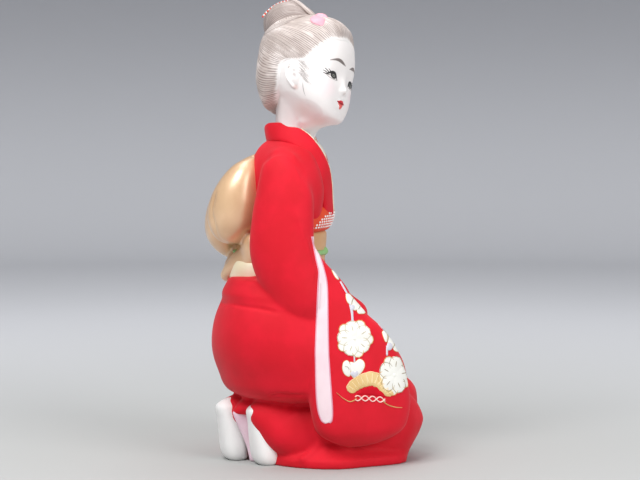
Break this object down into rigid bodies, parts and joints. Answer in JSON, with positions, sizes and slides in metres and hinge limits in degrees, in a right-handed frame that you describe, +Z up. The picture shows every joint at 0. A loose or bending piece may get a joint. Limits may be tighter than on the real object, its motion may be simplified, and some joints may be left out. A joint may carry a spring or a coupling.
{
  "type": "hakata doll",
  "caption": "Kneeling girl of painted fired clay in a red long-sleeved kimono with white flowers, a gold sash bow behind and hair in a top knot; stands on its flat underside.",
  "frame": {"origin": "middle of the figure's box, on the ground that its underside rests on", "axes": "+Z up through the hair knot, -Y ahead of the doll, +X towards her left hand"},
  "size_m": [0.1162, 0.1308, 0.2798],
  "materials": {
    "kimono": "matte brushed paint on fired clay, red",
    "lining": "matte paint, pale pink",
    "collar_line": "matte paint, cream",
    "sash": "satin gold paint with soft highlights",
    "sash_edge": "matte paint, cream",
    "sash_scarf": "matte paint, orange red with white dots",
    "cord": "matte paint, green",
    "skin": "matte ground white, like fine unglazed porcelain",
    "face_paint": "fine brush lines of grey black for eyes and brows",
    "lip_paint": "red brush paint",
    "hair": "matte grey brown paint with fine combed lines",
    "ribbon": "matte paint, pink",
    "sock": "matte paint, white",
    "flower": "white paint laid on thick",
    "motif_gold": "gold brown paint lines and fields"
  },
  "bodies": {
    "root": {"doll": "kimono"}
  },
  "joints": []
}
